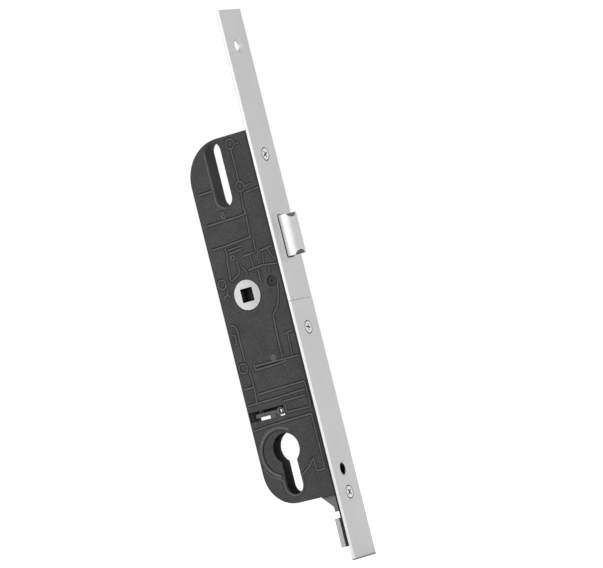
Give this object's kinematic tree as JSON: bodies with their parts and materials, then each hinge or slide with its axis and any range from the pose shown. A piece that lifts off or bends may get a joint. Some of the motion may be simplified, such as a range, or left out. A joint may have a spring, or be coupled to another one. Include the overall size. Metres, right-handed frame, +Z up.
{
  "type": "multipoint door lock",
  "caption": "Mortice gearbox case on a long narrow faceplate, with a sprung latch, square spindle hub, profile cylinder cut-out and a drive rail that throws remote bolts",
  "frame": {"origin": "on the spindle hub's axis, in the middle plane of the case", "axes": "+X from the hub to the faceplate, +Y across the lock from the covered near side to the far side, +Z up along the faceplate"},
  "size_m": [0.0599, 0.024, 0.3263],
  "materials": {
    "case": "dark grey powder coat over zinc die casting, fine matt grain",
    "faceplate": "satin zinc-plated steel strip",
    "latch": "nickel-plated zinc casting, satin",
    "hub": "bright zinc casting, barrelled",
    "screw": "bright zinc-plated steel",
    "rivet": "dark steel",
    "bracket": "zinc casting, as cast",
    "rail": "dark phosphated steel strip",
    "connector": "zinc casting, tumbled",
    "steel": "zinc-plated stamped steel",
    "spring": "oiled spring steel wire",
    "guide": "black acetal"
  },
  "bodies": {
    "case": {"case_body": "case", "case_cover": "case", "cover_ribs": "case", "case_rivets": "rivet", "lower_bracket": "bracket", "separator": "steel", "faceplate_upper": "faceplate", "faceplate_lower": "faceplate", "faceplate_screws": "screw", "stop_stud": "steel", "latch_guide_pin": "steel", "slide_guides": "guide", "deadlock_pins": "steel", "tumbler_pin": "steel", "latch_spring": "spring", "tumbler_spring": "spring"},
    "latch_hub": {"latch_follower": "hub"},
    "latch": {"latch_bolt": "latch", "latch_tail": "steel", "tail_rivets": "rivet"},
    "drive_hub": {"drive_follower": "hub"},
    "drive": {"drive_slide": "steel", "drive_rail": "rail", "rail_connector": "connector", "connector_rivets": "rivet"},
    "deadlock": {"deadlock_slide": "steel"},
    "tumbler": {"tumbler": "steel"}
  },
  "joints": [
    {"name": "latch_draw", "type": "slide", "parent": "case", "child": "latch", "axis": [-1, 0, 0], "range_m": [0, 0.0083], "stiffness_N_per_m": 300, "springref_m": -0.006, "deforming": ["latch_spring"]},
    {"name": "latch_hub_turn", "type": "hinge", "parent": "case", "child": "latch_hub", "pos_m": [0, 0, 0], "axis": [0, -1, 0], "range_deg": [0, 30]},
    {"name": "drive_slide_travel", "type": "slide", "parent": "case", "child": "drive", "axis": [0, 0, -1], "range_m": [0, 0.0144]},
    {"name": "drive_hub_turn", "type": "hinge", "parent": "case", "child": "drive_hub", "pos_m": [0, 0, 0], "axis": [0, 1, 0], "range_deg": [0, 41.4]},
    {"name": "deadlock_throw", "type": "slide", "parent": "case", "child": "deadlock", "axis": [1, 0, 0], "range_m": [0, 0.004]},
    {"name": "tumbler_lift", "type": "hinge", "parent": "case", "child": "tumbler", "pos_m": [0.0084, 0, -0.0699], "axis": [0, 1, 0], "range_deg": [0, 5], "stiffness_Nm_per_rad": 0.02, "springref_deg": -11.46, "deforming": ["tumbler_spring"]}
  ],
  "couplings": [
    {"joint": "latch_hub_turn", "follows": "latch_draw", "rad_per_m": 63.084},
    {"joint": "drive_hub_turn", "follows": "drive_slide_travel", "rad_per_m": 50.178}
  ]
}
